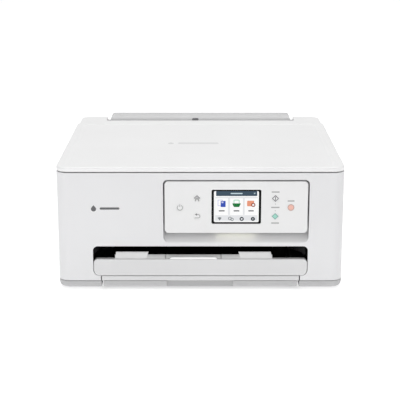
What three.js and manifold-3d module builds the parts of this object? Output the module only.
// A desktop inkjet printer with a flatbed scanner, a tilting touch panel, a front paper
// cassette and a rear paper feed.
// Millimetres. +X is to the right of someone facing the printer, +Y goes back and +Z goes up.
// The origin is under the middle of the feet.
import * as THREE from 'three';
import { mergeVertices } from 'three/addons/utils/BufferGeometryUtils.js';
import Module from 'manifold-3d';

const wasm = await Module();
wasm.setup();

// ---------------------------------------------------------------- driving dimensions

const WIDTH = 378;
const DEPTH = 359;
const HEIGHT = 172;
const RIGHT = WIDTH / 2;
const FRONT = -DEPTH / 2;
const BACK = DEPTH / 2;
const WALL = 2.5;
const GAP = 0.3;

const FOOT_HEIGHT = 3.4;
const BASE_BOTTOM = FOOT_HEIGHT + GAP;
const CASE_BOTTOM = 13.5;
const BASE_TOP = 12.7;
const CASE_TOP = 160.5;
const LID_BOTTOM = 162;
const LID_TOP = 168;
const LID_BACK = 119;
const LID_RIM = 10;
const DISH_DEPTH = 0.9;
const DECK_TOP = 165;
const FRONT_CORNER = 16;
const BACK_CORNER = 12;

const PAPER_CENTRE = -10;
const PAPER_WIDTH = 210;

const CASSETTE_HALF = 131.2;
const CASSETTE_FOOT_HALF = 128.6;
const BASE_NOTCH_HALF = 131.5;
const CASSETTE_SLOT_HALF = 132.6;
const TRAY_HALF = 141.3;
const BAY = { half: 142.2, bottom: 20, top: 61 };

const PANEL = { left: -46.9, right: 140.7, bottom: 79.3, top: 149.3, back: -167.5 };
const PANEL_GAP = 2;
const RECESS = { bottom: 65.9, back: -163 };
const SCREEN = { left: 14.6, right: 79.5, bottom: 92, top: 138.1 };

const SLOT_HALF = 147;
const SLOT_FRONT = 149.5;
const BAR_HALF = 141;

// ---------------------------------------------------------------- materials

const FINISHES = {
  white: { color: 0xe9e9ea, roughness: 0.45, metalness: 0 },
  lidWhite: { color: 0xf1f1f1, roughness: 0.4, metalness: 0 },
  baseGrey: { color: 0xc6c6c6, roughness: 0.55, metalness: 0 },
  coverGrey: { color: 0xd4d4d4, roughness: 0.5, metalness: 0 },
  innerGrey: { color: 0x8d8f92, roughness: 0.6, metalness: 0 },
  black: { color: 0x18181a, roughness: 0.5, metalness: 0 },
  screen: { color: 0x05070a, roughness: 0.15, metalness: 0 },
  glass: { color: 0xcfd8dc, roughness: 0.05, metalness: 0 },
  rubber: { color: 0x2b2b2d, roughness: 0.9, metalness: 0 },
  steel: { color: 0xb4b8bb, roughness: 0.35, metalness: 1 },
  foam: { color: 0xf6f6f4, roughness: 0.95, metalness: 0 },
  board: { color: 0x1f5c3a, roughness: 0.6, metalness: 0 },
  light: { color: 0xfdfdf0, roughness: 0.3, metalness: 0 },
  ink: { color: 0x2a3038, roughness: 0.4, metalness: 0 },
};

const printer = new THREE.Group();

function addPart(name, shape, finish) {
  const geometry = shape.isBufferGeometry ? shape : toGeometry(shape);
  const material = new THREE.MeshStandardMaterial(FINISHES[finish]);
  const mesh = new THREE.Mesh(geometry, material);
  mesh.name = name;
  printer.add(mesh);
}

// ---------------------------------------------------------------- solids and booleans

function toSolid(geometry) {
  const bare = geometry.clone();
  bare.deleteAttribute('normal');
  bare.deleteAttribute('uv');
  const merged = mergeVertices(bare, 1e-4);
  const mesh = new wasm.Mesh({
    numProp: 3,
    vertProperties: new Float32Array(merged.attributes.position.array),
    triVerts: new Uint32Array(merged.index.array),
  });
  return new wasm.Manifold(mesh);
}

function toGeometry(solid) {
  const mesh = solid.getMesh();
  const geometry = new THREE.BufferGeometry();
  geometry.setAttribute('position', new THREE.BufferAttribute(mesh.vertProperties, 3));
  geometry.setIndex(new THREE.BufferAttribute(mesh.triVerts, 1));
  geometry.computeVertexNormals();
  return geometry;
}

const join = (first, ...others) => others.reduce((sum, other) => sum.add(other), first);
const cut = (first, ...others) => others.reduce((rest, other) => rest.subtract(other), first);

// A box between two values on each axis.
function block([x0, x1], [y0, y1], [z0, z1]) {
  const geometry = new THREE.BoxGeometry(x1 - x0, y1 - y0, z1 - z0);
  geometry.translate((x0 + x1) / 2, (y0 + y1) / 2, (z0 + z1) / 2);
  return toSolid(geometry);
}

// A rectangle in two axes whose four corners have their own radii, in the order
// low-low, high-low, high-high, low-high. A radius of 0 leaves the corner sharp.
function roundedRectangle([u0, u1], [v0, v1], radii) {
  const [a, b, c, d] = radii;
  const shape = new THREE.Shape();
  shape.moveTo(u0 + a, v0);
  shape.lineTo(u1 - b, v0);
  if (b > 0) shape.absarc(u1 - b, v0 + b, b, -Math.PI / 2, 0);
  shape.lineTo(u1, v1 - c);
  if (c > 0) shape.absarc(u1 - c, v1 - c, c, 0, Math.PI / 2);
  shape.lineTo(u0 + d, v1);
  if (d > 0) shape.absarc(u0 + d, v1 - d, d, Math.PI / 2, Math.PI);
  shape.lineTo(u0, v0 + a);
  if (a > 0) shape.absarc(u0 + a, v0 + a, a, Math.PI, 1.5 * Math.PI);
  return shape;
}

function polygon(points) {
  return new THREE.Shape(points.map(([u, v]) => new THREE.Vector2(u, v)));
}

const CURVE_STEPS = 8;

// An outline in X and Y raised from z0 to z1.
function raise(shape, [z0, z1]) {
  const options = { depth: z1 - z0, bevelEnabled: false, curveSegments: CURVE_STEPS };
  const geometry = new THREE.ExtrudeGeometry(shape, options);
  geometry.translate(0, 0, z0);
  return toSolid(geometry);
}

// An outline in X and Z run from y0 to y1.
function runBack(shape, [y0, y1]) {
  const options = { depth: y1 - y0, bevelEnabled: false, curveSegments: CURVE_STEPS };
  const geometry = new THREE.ExtrudeGeometry(shape, options);
  geometry.rotateX(Math.PI / 2);
  geometry.translate(0, y1, 0);
  return toSolid(geometry);
}

// A profile in Y and Z, as a shape or a list of points, run from x0 to x1.
function runAcross(profile, [x0, x1]) {
  const options = { depth: x1 - x0, bevelEnabled: false, curveSegments: CURVE_STEPS };
  const shape = Array.isArray(profile) ? polygon(profile) : profile;
  const geometry = new THREE.ExtrudeGeometry(shape, options);
  geometry.applyMatrix4(new THREE.Matrix4().set(0, 0, 1, x0, 1, 0, 0, 0, 0, 1, 0, 0, 0, 0, 0, 1));
  return toSolid(geometry);
}

// A round bar along one axis, from start to start + length.
function bar(axis, radius, start, length, sides = 20) {
  const geometry = new THREE.CylinderGeometry(radius, radius, length, sides);
  geometry.translate(0, length / 2, 0);
  if (axis === 'x') geometry.rotateZ(-Math.PI / 2);
  if (axis === 'z') geometry.rotateX(Math.PI / 2);
  geometry.translate(...start);
  return toSolid(geometry);
}

// A rounded rectangle extruded from 0 to length, with the edges of both ends drawn in by
// inset over rise, on a curve with the given number of steps.
function softExtrusion([u0, u1], [v0, v1], radii, length, { inset, rise, steps }) {
  const outline = roundedRectangle([u0 + inset, u1 - inset], [v0 + inset, v1 - inset],
    radii.map((radius) => Math.max(radius - inset, 0)));
  const geometry = new THREE.ExtrudeGeometry(outline, {
    depth: length - 2 * rise, bevelEnabled: true, bevelThickness: rise, bevelSize: inset,
    bevelSegments: steps, curveSegments: CURVE_STEPS,
  });
  geometry.translate(0, 0, rise);
  return geometry;
}

// A slab with only its upper edges softened.
function slabSoftAbove(x, y, radii, [z0, z1], softness) {
  const height = z1 - z0;
  const geometry = softExtrusion(x, y, radii, 2 * height, softness);
  geometry.translate(0, 0, z0 - height);
  return toSolid(geometry).intersect(block([x[0] - 1, x[1] + 1], [y[0] - 1, y[1] + 1], [z0, z1]));
}

// A slab with only its lower edges softened.
function slabSoftBelow(x, y, radii, [z0, z1], softness) {
  const geometry = softExtrusion(x, y, radii, 2 * (z1 - z0), softness);
  geometry.translate(0, 0, z0);
  return toSolid(geometry).intersect(block([x[0] - 1, x[1] + 1], [y[0] - 1, y[1] + 1], [z0, z1]));
}

// A plate standing across the printer, from y0 back to y1, with softened edges.
function softUpright(x, z, radii, [y0, y1], softness) {
  const geometry = softExtrusion(x, z, radii, y1 - y0, softness);
  geometry.rotateX(Math.PI / 2);
  geometry.translate(0, y1, 0);
  return toSolid(geometry);
}

// ---------------------------------------------------------------- base, case and feet

function addFeet() {
  const profile = [[0, 0], [7.2, 0], [8, 0.8], [8, FOOT_HEIGHT], [0, FOOT_HEIGHT]];
  const points = profile.map(([r, z]) => new THREE.Vector2(r, z));
  for (const [side, x] of [['left', -160], ['right', 160]]) {
    for (const [end, y] of [['front', -148], ['rear', 152]]) {
      const geometry = new THREE.LatheGeometry(points, 20);
      geometry.rotateX(Math.PI / 2);
      geometry.translate(x, y, 0);
      addPart(`foot_${end}_${side}`, toSolid(geometry), 'rubber');
    }
  }
}

function addBase() {
  const corners = [FRONT_CORNER, FRONT_CORNER, BACK_CORNER, BACK_CORNER];
  const outer = slabSoftBelow([-RIGHT, RIGHT], [FRONT, BACK], corners, [BASE_BOTTOM, BASE_TOP],
    { inset: 3, rise: 7, steps: 5 });
  const inside = block([-182, 182], [FRONT + 8, BACK - 8], [BASE_BOTTOM + 1.9, CASE_BOTTOM]);
  const cassetteNotch = block([-BASE_NOTCH_HALF, BASE_NOTCH_HALF], [FRONT - 1, -110], [0, 20]);
  addPart('base_case', cut(outer, inside, cassetteNotch), 'baseGrey');
}

function recessCut() {
  const outline = roundedRectangle(
    [PANEL.left - PANEL_GAP, PANEL.right + PANEL_GAP],
    [RECESS.bottom, PANEL.top + PANEL_GAP], [8, 8, 6, 6]);
  const scoop = [
    [FRONT - 2, RECESS.bottom - 1.4], [-165, 77.5], [RECESS.back, 79.5],
    [RECESS.back, PANEL.top + 5], [FRONT - 2, PANEL.top + 5],
  ];
  return runBack(outline, [FRONT - 1, RECESS.back]).intersect(runAcross(scoop, [-60, 150]));
}

function addCase() {
  const corners = [FRONT_CORNER, FRONT_CORNER, BACK_CORNER, BACK_CORNER];
  const innerCorners = corners.map((radius) => radius - WALL);
  const height = [CASE_BOTTOM, CASE_TOP];
  const outer = raise(roundedRectangle([-RIGHT, RIGHT], [FRONT, BACK], corners), height);
  const inner = raise(
    roundedRectangle([-RIGHT + WALL, RIGHT - WALL], [FRONT + WALL, BACK - WALL], innerCorners),
    [CASE_BOTTOM - 1, CASE_TOP + 1]);
  const panelHousing = block([PANEL.left - 5, PANEL.right + 5], [FRONT + 1, RECESS.back + WALL],
    [64.5, 154.5]);
  const bayMouth = runBack(
    roundedRectangle([-BAY.half, BAY.half], [BAY.bottom, BAY.top], [8, 8, 6.5, 6.5]),
    [FRONT - 1, FRONT + 8]);
  const cassetteMouth = block([-CASSETTE_SLOT_HALF, CASSETTE_SLOT_HALF], [FRONT - 1, FRONT + 8], [10, 24]);
  const inletHole = block([-174.8, -153.2], [BACK - 8, BACK + 1], [19.7, 44.3]);
  const jamHole = block([-120, 120], [BACK - 8, BACK + 1], [24, 84]);
  const portHole = block([140, 153], [BACK - 8, BACK + 1], [38, 50]);
  const shell = join(cut(outer, inner), panelHousing);
  addPart('main_case', cut(shell, recessCut(), bayMouth, cassetteMouth, inletHole, jamHole, portHole),
    'white');
}

function addRearDeck() {
  const outline = roundedRectangle([1.5 - RIGHT, RIGHT - 1.5], [121.5, BACK],
    [2, 2, BACK_CORNER, BACK_CORNER]);
  const plate = raise(outline, [CASE_TOP + GAP, DECK_TOP]);
  const feedSlot = block([-SLOT_HALF, SLOT_HALF], [SLOT_FRONT, BACK + 1], [150, 170]);
  const hollow = block([-182, 182], [124, SLOT_FRONT - 2.5], [150, 162.5]);
  addPart('rear_deck', cut(plate, feedSlot, hollow), 'white');
}

function addJamCover() {
  const plate = block([-119.5, 119.5], [BACK - 2.3, BACK - 0.2], [24.5, 83.5]);
  const rim = block([-115, 115], [BACK - 10, BACK - 2.3], [29, 79]);
  const hollow = block([-113, 113], [BACK - 11, BACK - 2.3], [31, 77]);
  const grips = [-60, 60].map((x) => block([x - 10, x + 10], [BACK - 1.2, BACK], [74, 80]));
  addPart('rear_jam_cover', cut(join(plate, cut(rim, hollow)), ...grips), 'innerGrey');
}

// ---------------------------------------------------------------- scanner and lid

const TUB = { half: 180, front: -156, back: 116, bottom: 128, top: 157.5 };
const GLASS = { left: -152, right: 152, front: -120, back: 100 };

function addScannerCase() {
  const outer = block([-TUB.half, TUB.half], [TUB.front, TUB.back], [TUB.bottom, TUB.top]);
  const inside = block([-TUB.half + WALL, TUB.half - WALL], [TUB.front + WALL, TUB.back - WALL],
    [TUB.bottom + WALL, TUB.top + 1]);
  const rail = block([-TUB.half + 1, TUB.half - 1], [-16, -4], [TUB.bottom + 1, 145.4]);
  const arms = [-145, 145].map((x) => block([x - 5, x + 5], [TUB.back - 1, 122], [150, TUB.top]));
  addPart('scanner_case', join(cut(outer, inside), rail, ...arms), 'innerGrey');
}

function addScannerFrame() {
  const outline = roundedRectangle([3.5 - RIGHT, RIGHT - 3.5], [FRONT + 3.2, 118], [13, 13, 1, 1]);
  const window = block([GLASS.left, GLASS.right], [GLASS.front, GLASS.back], [150, 170]);
  addPart('scanner_frame', cut(raise(outline, [TUB.top + GAP, 160.3]), window), 'lidWhite');
  const glass = block([GLASS.left + GAP, GLASS.right - GAP], [GLASS.front + GAP, GLASS.back - GAP],
    [TUB.top + 0.6, 160.2]);
  addPart('platen_glass', glass, 'glass');
}

function addScanCarriage() {
  const lampBar = block([-151, -131], [-118, 98], [145.8, 156.5]);
  const shoe = block([-149, -133], [-20.5, -0], [139, 146]);
  const railSlot = block([-155, -125], [-16.4, -3.6], [135, 145.8]);
  addPart('scan_carriage', cut(join(lampBar, shoe), railSlot), 'black');
}

function addLidHinges() {
  for (const [side, x] of [['left', -115], ['right', 115]]) {
    const foot = block([x - 12, x + 12], [106, 113], [160.6, 162.4]);
    const ear = runAcross([[108.5, 162], [108.5, 163.6], [109.5, 164.6], [112.4, 164.6], [113, 164],
      [113, 162]],
      [x - 8, x + 8]);
    addPart(`lid_hinge_${side}`, join(foot, ear), 'steel');
  }
}

function addDocumentCover() {
  const corners = [FRONT_CORNER, FRONT_CORNER, 10, 10];
  const outer = slabSoftAbove([-RIGHT, RIGHT], [FRONT, LID_BACK], corners, [LID_BOTTOM, LID_TOP],
    { inset: 1.8, rise: 2.2, steps: 3 });
  const dish = slabSoftBelow([LID_RIM - RIGHT, RIGHT - LID_RIM], [FRONT + LID_RIM, LID_BACK - LID_RIM],
    [14, 14, 12, 12], [LID_TOP - DISH_DEPTH, LID_TOP + 0.01], { inset: 5, rise: DISH_DEPTH, steps: 1 });
  const fallBehind = runAcross([[113, LID_BOTTOM], [113, LID_BOTTOM - 1], [121, LID_BOTTOM - 1],
    [121, 166.2]], [-200, 200]);
  const hollow = block([-170, 170], [-160, 104], [150, 165.5]);
  const hingePockets = [-115, 115].map((x) => block([x - 13.5, x + 13.5], [103, 116.5], [150, 165.5]));
  addPart('document_cover', cut(outer, dish, fallBehind, hollow, ...hingePockets), 'lidWhite');
  addPart('document_pad', block([-155, 155], [-124, 102], [160.8, 165.2]), 'foam');
}

function addScannerStay() {
  const outline = new THREE.Shape();
  outline.absarc(90, 121, 4, -Math.PI / 2, Math.PI / 2);
  outline.lineTo(-20, 124);
  outline.absarc(-20, 121, 3, Math.PI / 2, 1.5 * Math.PI);
  addPart('scanner_stay', runAcross(outline, [182, 184.4]), 'black');
}

// ---------------------------------------------------------------- control panel

const SKIN_BACK = FRONT + 2;
const KEYS = {
  key_power: [-26.9, 114.2],
  key_home: [-4.4, 126.4],
  key_return: [-4.2, 102.2],
  key_start_mono: [98.1, 126.4],
  key_start_colour: [98, 102.2],
  key_stop: [118.5, 114.2],
};
const KEY_RADIUS = 4.7;
const KEY_GAP = 0.12;

function addPanel() {
  const across = [PANEL.left, PANEL.right];
  const upright = [PANEL.bottom, PANEL.top];
  const shell = softUpright(across, upright, [5, 5, 5, 5], [FRONT, -170.3],
    { inset: 0.9, rise: 0.9, steps: 3 });
  const cavity = runBack(roundedRectangle([across[0] + 2, across[1] - 2], [upright[0] + 2, upright[1] - 2],
    [3, 3, 3, 3]), [SKIN_BACK, -160]);
  const window = runBack(roundedRectangle([SCREEN.left - KEY_GAP, SCREEN.right + KEY_GAP],
    [SCREEN.bottom - KEY_GAP, SCREEN.top + KEY_GAP], [2.1, 2.1, 2.1, 2.1]), [FRONT - 1, SKIN_BACK + 1]);
  const keyHoles = Object.values(KEYS).map(([x, z]) => bar('y', KEY_RADIUS + KEY_GAP,
    [x, FRONT - 1, z], 4, 24));
  const lightSlot = block([21.7, 72.3], [-175.8, -171.7], [PANEL.bottom - 1, PANEL.bottom + 3]);
  addPart('panel_fascia', cut(shell, cavity, window, ...keyHoles, lightSlot), 'white');

  const backPlate = [[-170, PANEL.bottom + 0.5], [-168.5, PANEL.bottom + 0.5], [PANEL.back, 81.5],
    [PANEL.back, 144], [-168.5, PANEL.top - 1.5], [-170, PANEL.top - 0.5]];
  addPart('panel_back', runAcross(backPlate, [PANEL.left + 2, PANEL.right - 2]), 'innerGrey');

  const screen = runBack(roundedRectangle([SCREEN.left, SCREEN.right], [SCREEN.bottom, SCREEN.top],
    [2, 2, 2, 2]), [FRONT + 0.2, -175]);
  addPart('touchscreen', screen, 'screen');
  addPart('status_light', block([22, 72], [-175.5, -172], [PANEL.bottom + 0.2, 83]), 'light');
}

function addKeys() {
  for (const [name, [x, z]] of Object.entries(KEYS)) {
    const cap = bar('y', KEY_RADIUS, [x, FRONT, z], 3, 24);
    const flange = bar('y', KEY_RADIUS + 1.2, [x, SKIN_BACK + GAP, z], 1.4, 24);
    addPart(name, join(cap, flange), 'white');
  }
}

// ---------------------------------------------------------------- output tray

const SLAB_BACK = -171.5;
const LEDGE_BACK = -157;
const CREST = 46.9;
const TRAY_TOP = 42.8;
const EXTENSION = { left: -45.6, right: 26.9, thickness: 1.8, lip: [-40.8, 22.4] };

function addBayLiner() {
  const front = FRONT + WALL + GAP;
  const outside = [[-145, front], [145, front], [145, -172], [116, -116], [112, -114], [112, -72],
    [-112, -72], [-112, -114], [-134, -116], [-145, -172]];
  const inside = [[-142.6, front - 1], [142.6, front - 1], [112, -120], [108, -118], [108, -75],
    [-108, -75], [-108, -118], [-130, -120]];
  const walls = cut(raise(polygon(outside), [47, 64]), raise(polygon(inside), [46, 62]));
  const openRear = block([-107, 107], [-80, -60], [40, 55]);
  addPart('bay_liner', cut(walls, openRear), 'black');
}

function addOutputTray() {
  const slab = runBack(roundedRectangle([-TRAY_HALF, TRAY_HALF], [BAY.bottom + 0.4, TRAY_TOP],
    [7.5, 7.5, 5, 5]), [FRONT, SLAB_BACK]);
  // The ledge behind the slab rises to a crest, over which the paper slides out.
  const ledge = runAcross([[-172.5, 36], [-172.5, 41], [-177, 41], [-177, TRAY_TOP], [-171.2, CREST],
    [-170.4, CREST], [-170.4, TRAY_TOP], [LEDGE_BACK, TRAY_TOP], [LEDGE_BACK, 36]], [-113.6, 95.6]);
  const groove = block([-120, 101], [FRONT + 1.2, FRONT + 2.4], [TRAY_TOP - 1, TRAY_TOP + 0.2]);
  const channel = block([EXTENSION.left - 1, EXTENSION.right + 1], [FRONT - 1, -80], [TRAY_TOP, 60]);

  // The two raised paper rests lean back, and their inner sides slope outwards.
  const lean = runAcross([[-177, TRAY_TOP - 1], [-176.6, 43.4], [-173.2, 50.4], [-172.4, 51.2],
    [-171.2, 51.2], [-170.4, 50.4], [-170.4, TRAY_TOP - 1]], [-130, 110]);
  const rests = [
    [[-113.6, TRAY_TOP - 1], [-72.5, TRAY_TOP - 1], [-68.5, 52], [-111.9, 52]],
    [[95.1, TRAY_TOP - 1], [93.4, 52], [50.2, 52], [54.2, TRAY_TOP - 1]],
  ].map((outline) => runBack(polygon(outline), [-178, -165]).intersect(lean));
  addPart('output_tray', cut(join(slab, ledge, ...rests), groove, channel), 'white');

  const bed = block([-118, 98], [LEDGE_BACK + GAP, -80], [36, TRAY_TOP]);
  const relief = [-80, 20].map((x) => block([x, x + 40], [-150, -90], [35, 39]));
  addPart('output_tray_bed', cut(bed, ...relief), 'black');
}

function addTrayExtension() {
  const { left, right, thickness, lip: [lipLeft, lipRight] } = EXTENSION;
  const underside = TRAY_TOP + GAP;
  const top = underside + thickness;
  const plate = runAcross([[-177.4, underside], [-177.4, underside + 0.2], [-171.2, CREST],
    [-170.4, CREST], [-170.4, top], [-90, top], [-90, underside]], [left, right]);
  const lip = runBack(polygon([[lipLeft, underside], [lipRight, underside], [lipRight - 2.4, underside + 2.6],
    [lipLeft + 2.4, underside + 2.6]]), [FRONT, FRONT + 3.4]);
  const nicks = [block([lipLeft - 1.4, lipLeft - 0.1], [FRONT - 1, FRONT + 5], [TRAY_TOP - 1, 50]),
    block([lipRight + 0.1, lipRight + 1.4], [FRONT - 1, FRONT + 5], [TRAY_TOP - 1, 50])];
  addPart('tray_extension', cut(join(plate, lip), ...nicks), 'white');
}

// ---------------------------------------------------------------- paper cassette

const CASSETTE = { half: 125, front: -171, back: 135, bottom: 6, floor: 8, top: 18.8 };

function addCassette() {
  const outer = block([-CASSETTE.half, CASSETTE.half], [CASSETTE.front, CASSETTE.back],
    [CASSETTE.bottom, CASSETTE.top]);
  const inside = block([-CASSETTE.half + WALL, CASSETTE.half - WALL],
    [CASSETTE.front + 1.5, CASSETTE.back - 2], [CASSETTE.floor, CASSETTE.top + 1]);
  addPart('cassette', cut(outer, inside), 'innerGrey');

  const profile = new THREE.Shape();
  profile.moveTo(FRONT, 19.4);
  profile.lineTo(FRONT, CASE_BOTTOM);
  profile.lineTo(FRONT + 1.5, CASE_BOTTOM);
  profile.lineTo(FRONT + 1.5, BASE_TOP);
  profile.lineTo(FRONT, BASE_TOP);
  profile.quadraticCurveTo(FRONT, 4.6, FRONT + 3, 4.1);
  profile.lineTo(CASSETTE.front - GAP, 4.1);
  profile.lineTo(CASSETTE.front - GAP, 19.4);
  const grip = block([-44.6, 43.4], [FRONT - 1, FRONT + 2.6], [2, BASE_TOP]);
  const sides = [-1, 1].map((side) => block(
    side < 0 ? [-140, -CASSETTE_FOOT_HALF] : [CASSETTE_FOOT_HALF, 140], [FRONT - 1, -160], [0, BASE_TOP]));
  addPart('cassette_front', cut(runAcross(profile, [-CASSETTE_HALF, CASSETTE_HALF]), grip, ...sides), 'white');
}

const RACK = { bottom: 8.3, top: 10.3 };

function addWidthGuides() {
  const edge = PAPER_WIDTH / 2 + GAP;
  const sides = [
    ['left', PAPER_CENTRE - edge - 3.5, PAPER_CENTRE - edge, 6.4, 10, PAPER_CENTRE + 10],
    ['right', PAPER_CENTRE + edge, PAPER_CENTRE + edge + 3.5, -10, -6.4, PAPER_CENTRE - 10],
  ];
  for (const [side, x0, x1, y0, y1, rackEnd] of sides) {
    const wall = block([x0, x1], [-60, 60], [RACK.top + 0.5, 18.4]);
    const foot = block([x0, x1], [y0, y1], [RACK.bottom, RACK.top + 1]);
    const rack = block([Math.min(x0, rackEnd), Math.max(x1, rackEnd)], [y0, y1], [RACK.bottom, RACK.top]);
    addPart(`width_guide_${side}`, join(wall, foot, rack), 'innerGrey');
  }
}

function addLengthGuide() {
  const wall = block([-28, 8], [127.6, 130], [8.3, 18.2]);
  const foot = block([-18, -2], [112, 128], [8.3, 9.6]);
  addPart('length_guide', join(wall, foot), 'innerGrey');
}

// ---------------------------------------------------------------- rear paper feed

const SUPPORT = { front: 173.6, back: 176.4 };

// What keeps the ends of the rear bar rounded, seen from the front.
function barEnds() {
  const outline = new THREE.Shape();
  outline.moveTo(-BAR_HALF, 60);
  outline.lineTo(BAR_HALF, 60);
  outline.lineTo(BAR_HALF, 166);
  outline.quadraticCurveTo(BAR_HALF - 0.6, HEIGHT, BAR_HALF - 6.5, HEIGHT);
  outline.lineTo(6.5 - BAR_HALF, HEIGHT);
  outline.quadraticCurveTo(0.6 - BAR_HALF, HEIGHT, -BAR_HALF, 166);
  return runBack(outline, [140, 190]);
}

function addRearCover() {
  const shell = new THREE.Shape();
  shell.moveTo(151, 161.6);
  shell.lineTo(150.6, 165);
  shell.quadraticCurveTo(151, 169.2, 155, 170.8);
  shell.quadraticCurveTo(158.5, HEIGHT, 163, HEIGHT);
  shell.lineTo(169.5, HEIGHT);
  shell.quadraticCurveTo(173, 171, 173, 167.5);
  shell.lineTo(172, 164.5);
  shell.lineTo(168, 162.5);
  const under = [[153.4, 160], [153.2, 165], [158, 168.6], [162, 169.6], [168.5, 169.4], [170, 167],
    [166, 164], [164, 160]];
  const hollow = runAcross(under, [-136, 136]);
  addPart('rear_tray_cover', cut(runAcross(shell, [-BAR_HALF, BAR_HALF]), hollow).intersect(barEnds()),
    'coverGrey');
}

function addPaperSupport() {
  const plate = block([-105, 105], [SUPPORT.front, SUPPORT.back], [95, 163]);
  const handle = runAcross([[SUPPORT.front, 161.2], [SUPPORT.front, 171.4], [174.4, HEIGHT],
    [178.2, HEIGHT], [BACK, 170.6], [BACK, 161.2]], [-BAR_HALF, BAR_HALF]);
  addPart('rear_paper_support', join(plate, handle).intersect(barEnds()), 'coverGrey');
}

function addRearFeed() {
  const backWall = [[169.5, 159], [171.8, 159], [171.8, 156], [143, 99], [139.5, 99]];
  const frontWall = [[151.2, 159], [153, 159], [133, 99], [131.2, 99]];
  const chuteBack = runAcross(backWall, [-134, 134]);
  const chuteFront = runAcross(frontWall, [-134, 134]);
  const cheeks = [-134, 132].map((x) => runAcross([[151.2, 159], [171.8, 159], [171.8, 156], [143, 99],
    [131.2, 99]], [x, x + 2]));
  addPart('feed_chute', join(chuteBack, chuteFront, ...cheeks), 'innerGrey');

  const guide = [[167.2, 157], [155, 157], [144.5, 124], [150.4, 124]];
  for (const [side, x] of [['left', -108.6], ['right', 105.6]]) {
    addPart(`rear_guide_${side}`, runAcross(guide, [x, x + 3]), 'coverGrey');
  }
}

// ---------------------------------------------------------------- print engine

const ENGINE = { left: -151, right: 174, rear: 60 };
const BELT = { z: 86, y: [46, 52], left: -138, right: 166, radius: 6 };

function addChassis() {
  const back = block([ENGINE.left - 2, ENGINE.right + 2], [ENGINE.rear, ENGINE.rear + 2], [60, 118]);
  const cheeks = [ENGINE.left - 2, ENGINE.right].map((x) => block([x, x + 2], [-60, 62], [44, 110]));
  const shelf = block([ENGINE.left - 2, ENGINE.right + 2], [46, 61], [99, 101]);
  const lip = block([ENGINE.left - 2, ENGINE.right + 2], [44, 46], [97, 103]);
  const motorHole = bar('y', 7, [BELT.left, 50, BELT.z], 20);
  addPart('print_chassis', cut(join(back, ...cheeks, shelf, lip), motorHole), 'steel');
}

const CARRIAGE = { left: 101, right: 171, front: -8, back: 42, bottom: 62, top: 108 };

function addPrintCarriage() {
  const box = block([CARRIAGE.left, CARRIAGE.right], [CARRIAGE.front, CARRIAGE.back],
    [CARRIAGE.bottom, CARRIAGE.top]);
  const bays = [[103, 131], [134, 169]].map((across) => block(across, [-9, 39], [70, 110]));
  const nozzles = block([106, 166], [4, 30], [60, 63]);
  addPart('print_carriage', join(cut(box, ...bays), nozzles), 'black');

  const cartridges = [['black', 104, 130], ['colour', 135, 168]];
  for (const [ink, x0, x1] of cartridges) {
    const tank = block([x0, x1], [-6, 38.4], [70.4, 106]);
    const label = block([x0 + 3, x1 - 3], [-7.4, -5], [78, 98]);
    addPart(`cartridge_${ink}`, join(tank, label), 'ink');
    const latch = block([x0, x1], [-6, 16], [108.6, 111.4]);
    const finger = block([x0 + 5, x1 - 5], [-8, -5], [108.6, 112.4]);
    addPart(`cartridge_latch_${ink}`, join(latch, finger), 'innerGrey');
  }
}

function beltOutline(radius) {
  const outline = new THREE.Shape();
  outline.absarc(BELT.right, BELT.z, radius, -Math.PI / 2, Math.PI / 2);
  outline.lineTo(BELT.left, BELT.z + radius);
  outline.absarc(BELT.left, BELT.z, radius, Math.PI / 2, 1.5 * Math.PI);
  return outline;
}

function addCarriageDrive() {
  const outside = runBack(beltOutline(BELT.radius + 1.2), BELT.y);
  const inside = runBack(beltOutline(BELT.radius), [BELT.y[0] - 1, BELT.y[1] + 1]);
  addPart('drive_belt', cut(outside, inside), 'rubber');
  for (const [name, x] of [['motor_pulley', BELT.left], ['idler_pulley', BELT.right]]) {
    const wheel = bar('y', BELT.radius - GAP, [x, BELT.y[0], BELT.z], 6, 24);
    const bore = bar('y', 1.5, [x, BELT.y[0] - 1, BELT.z], 8, 12);
    addPart(name, cut(wheel, bore), 'steel');
  }
  const can = bar('y', 15, [BELT.left, 62.4, BELT.z], 28, 24);
  const spigot = bar('y', 5, [BELT.left, 57, BELT.z], 6, 16);
  addPart('carriage_motor', join(can, spigot), 'steel');
}

function addRollersAndPlaten() {
  const length = ENGINE.right - ENGINE.left - 2;
  addPart('feed_roller', bar('x', 6, [ENGINE.left + 1, 53, 52], length, 20), 'steel');
  addPart('eject_roller', bar('x', 5, [ENGINE.left + 1, -40, 50], length, 20), 'rubber');
  const plate = block([-140, 112], [-32, 44], [48, 52]);
  const ribs = Array.from({ length: 9 }, (_, i) => block([-124 + 27 * i, -121 + 27 * i],
    [-30, 42], [51, 55.5]));
  addPart('platen', join(plate, ...ribs), 'black');
}

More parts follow.
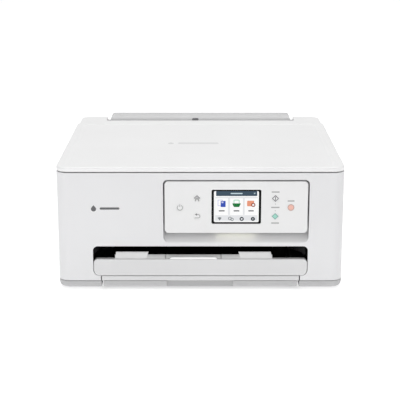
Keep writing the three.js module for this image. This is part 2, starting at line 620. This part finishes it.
function addPurgeUnit() {
  const body = block([118, 169], [-8, 44], [34, 50]);
  const well = block([123, 156], [-2, 36], [40, 51]);
  addPart('purge_unit', cut(body, well), 'innerGrey');
  const cap = block([125, 154], [0, 34], [50.5, 59.6]);
  const pocket = block([127, 152], [2, 32], [57, 60]);
  addPart('purge_cap', cut(cap, pocket), 'rubber');
}

function addPickUp() {
  const arm = runAcross([[64, 36], [70, 44], [76, 44], [101, 34], [101, 27], [96, 27], [72, 34], [66, 34]],
    [-16, -12]);
  const boss = bar('x', 3, [-28, 70, 39], 24, 16);
  const axle = bar('x', 1.8, [-28, 97, 30.4], 14, 12);
  addPart('pick_up_arm', join(arm, boss, axle), 'innerGrey');
  const wheel = bar('x', 8, [-28, 97, 30.4], 10, 24);
  const bore = bar('x', 2.1, [-30, 97, 30.4], 16, 12);
  addPart('pick_up_roller', cut(wheel, bore), 'rubber');
}

function addElectronics() {
  const sheet = block([154, 155.6], [70, 175], [22, 92]);
  const chips = [[80, 60], [112, 30], [140, 64]].map(([y, z]) => block([150, 154.5],
    [y, y + 22], [z, z + 18]));
  const port = join(block([150, 154.2], [160, 176], [39, 49]),
    block([140.6, 152.4], [160, BACK - 0.2], [38.6, 49.4]));
  const portMouth = block([142.4, 150.6], [168, BACK + 1], [40.2, 47.8]);
  addPart('main_board', cut(join(sheet, ...chips, port), portMouth), 'board');

  const supply = block([-178, -156], [20, 152], [8, 60]);
  const inlet = block([-174.5, -153.5], [150, BACK - 0.2], [20, 44]);
  const socket = block([-171.5, -156.5], [166, BACK + 1], [26, 38]);
  addPart('power_supply', cut(join(supply, inlet), socket), 'black');
}

// ---------------------------------------------------------------- the whole printer

addFeet();
addBase();
addCase();
addRearDeck();
addJamCover();
addScannerCase();
addScannerFrame();
addScanCarriage();
addLidHinges();
addDocumentCover();
addScannerStay();
addPanel();
addKeys();
addBayLiner();
addOutputTray();
addTrayExtension();
addCassette();
addWidthGuides();
addLengthGuide();
addRearCover();
addPaperSupport();
addRearFeed();
addChassis();
addPrintCarriage();
addCarriageDrive();
addRollersAndPlaten();
addPurgeUnit();
addPickUp();
addElectronics();

export default printer;
